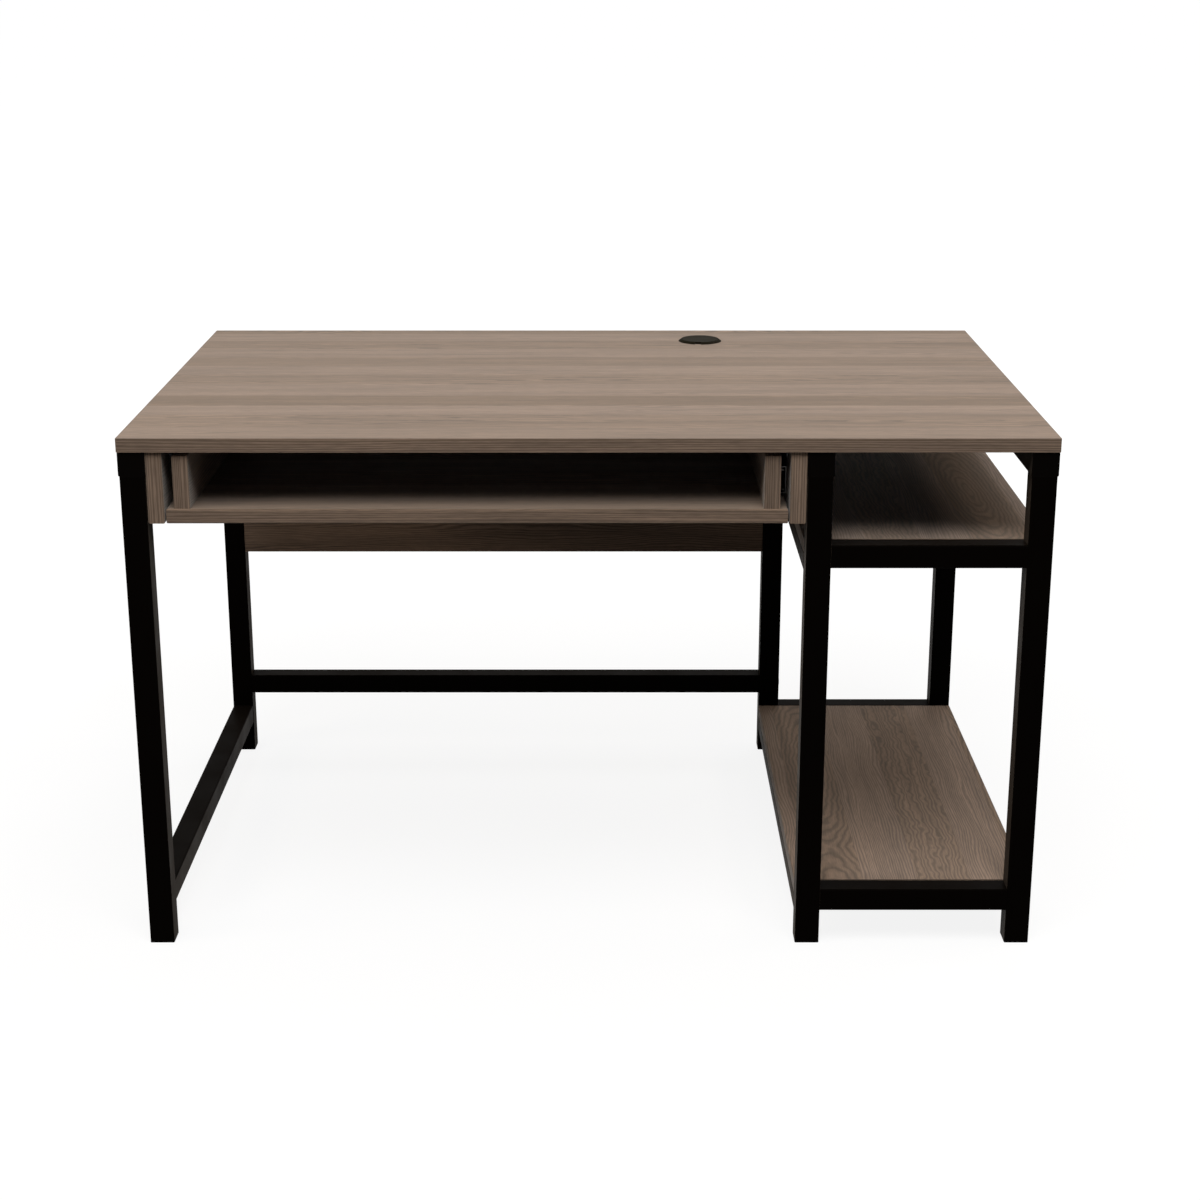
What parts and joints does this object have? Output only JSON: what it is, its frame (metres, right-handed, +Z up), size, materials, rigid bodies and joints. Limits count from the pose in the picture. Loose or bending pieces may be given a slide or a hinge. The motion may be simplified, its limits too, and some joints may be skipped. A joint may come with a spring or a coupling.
{
  "type": "computer desk with keyboard tray",
  "caption": "Steel-framed computer desk with a wood-look top, a keyboard tray on ball slides, a modesty panel, open shelves at the right and a cable grommet.",
  "frame": {"origin": "on the floor, under the middle of the desktop's outline", "axes": "+X to the sitter's right along the desktop's length, +Y to the rear, +Z up"},
  "size_m": [1.25, 0.798, 0.737],
  "materials": {
    "wood_laminate": "matt taupe wood-grain laminate on particle board",
    "powder_coated_steel": "satin black powder coat on square steel tube",
    "black_plastic": "moulded black plastic, fine texture",
    "zinc_plated_steel": "zinc-plated sheet steel",
    "bearing_steel": "polished steel balls",
    "fastener_steel": "dark zinc-plated screws and bolts"
  },
  "bodies": {
    "desk": {"desktop": "wood_laminate", "desktop_screws": "fastener_steel", "front_lower_cross_rail": "powder_coated_steel", "front_upper_cross_rail": "powder_coated_steel", "grommet_liner": "black_plastic", "hanger_screws": "fastener_steel", "left_front_foot": "black_plastic", "left_front_leg": "powder_coated_steel", "left_front_rail_cap": "black_plastic", "left_hanger_panel": "wood_laminate", "left_lower_rail": "powder_coated_steel", "left_rear_foot": "black_plastic", "left_rear_leg": "powder_coated_steel", "left_rear_rail_cap": "black_plastic", "left_slide_fixed_member": "zinc_plated_steel", "left_top_rail": "powder_coated_steel", "lower_shelf": "wood_laminate", "mid_front_foot": "black_plastic", "mid_front_leg": "powder_coated_steel", "mid_front_rail_cap": "black_plastic", "mid_lower_shelf_rail": "powder_coated_steel", "mid_rear_foot": "black_plastic", "mid_rear_leg": "powder_coated_steel", "mid_rear_rail_cap": "black_plastic", "mid_top_rail": "powder_coated_steel", "mid_upper_shelf_rail": "powder_coated_steel", "modesty_brackets": "zinc_plated_steel", "modesty_panel": "wood_laminate", "modesty_screws": "fastener_steel", "rear_lower_cross_rail": "powder_coated_steel", "rear_stretcher": "powder_coated_steel", "rear_upper_cross_rail": "powder_coated_steel", "right_front_foot": "black_plastic", "right_front_leg": "powder_coated_steel", "right_front_rail_cap": "black_plastic", "right_hanger_panel": "wood_laminate", "right_lower_shelf_rail": "powder_coated_steel", "right_rear_foot": "black_plastic", "right_rear_leg": "powder_coated_steel", "right_rear_rail_cap": "black_plastic", "right_slide_fixed_member": "zinc_plated_steel", "right_top_rail": "powder_coated_steel", "right_upper_shelf_rail": "powder_coated_steel", "shelf_screws": "fastener_steel", "slide_hanger_screws": "fastener_steel", "stretcher_bolts": "fastener_steel", "stretcher_end_plugs": "zinc_plated_steel", "upper_shelf": "wood_laminate"},
    "tray": {"tray_board": "wood_laminate", "left_tray_cheek": "wood_laminate", "right_tray_cheek": "wood_laminate", "left_slide_drawer_member": "zinc_plated_steel", "right_slide_drawer_member": "zinc_plated_steel", "cheek_screws": "fastener_steel", "slide_cheek_screws": "fastener_steel"},
    "left_retainer": {"left_slide_ball_cage": "zinc_plated_steel", "left_slide_balls": "bearing_steel"},
    "right_retainer": {"right_slide_ball_cage": "zinc_plated_steel", "right_slide_balls": "bearing_steel"},
    "grommet_cap": {"grommet_cap": "black_plastic"}
  },
  "joints": [
    {"name": "tray_slide", "type": "slide", "parent": "desk", "child": "tray", "axis": [0, -1, 0], "range_m": [0, 0.26]},
    {"name": "left_retainer_slide", "type": "slide", "parent": "desk", "child": "left_retainer", "axis": [0, -1, 0], "range_m": [0, 0.13]},
    {"name": "right_retainer_slide", "type": "slide", "parent": "desk", "child": "right_retainer", "axis": [0, -1, 0], "range_m": [0, 0.13]},
    {"name": "grommet_cap_turn", "type": "hinge", "parent": "desk", "child": "grommet_cap", "pos_m": [0.178, 0.305, 0.7335], "axis": [0, 0, 1], "continuous": true}
  ],
  "couplings": [
    {"joint": "left_retainer_slide", "follows": "tray_slide", "ratio": 0.5},
    {"joint": "right_retainer_slide", "follows": "tray_slide", "ratio": 0.5}
  ]
}
